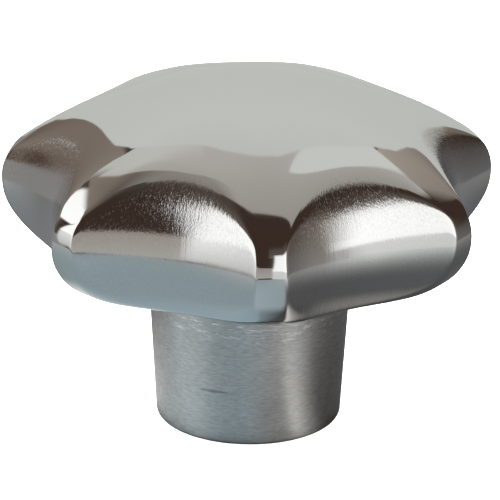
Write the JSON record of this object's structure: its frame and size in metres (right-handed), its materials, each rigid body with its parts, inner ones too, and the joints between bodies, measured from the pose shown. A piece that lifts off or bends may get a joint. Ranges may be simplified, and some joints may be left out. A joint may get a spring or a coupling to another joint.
{
  "type": "star knob",
  "caption": "Star-shaped clamping knob with a domed head, hollow-ground grips, a tapered hub and a blind threaded hole.",
  "frame": {"origin": "centre of the hub's bottom face, on the knob's axis", "axes": "+Z along the axis from the hub's face towards the dome, -Y through the middle of one grip tip"},
  "size_m": [0.0494, 0.0481, 0.035],
  "materials": {
    "stainless_steel": "polished dome and grips, fine turned hub"
  },
  "bodies": {
    "root": {"star_knob": "stainless_steel"}
  },
  "joints": []
}
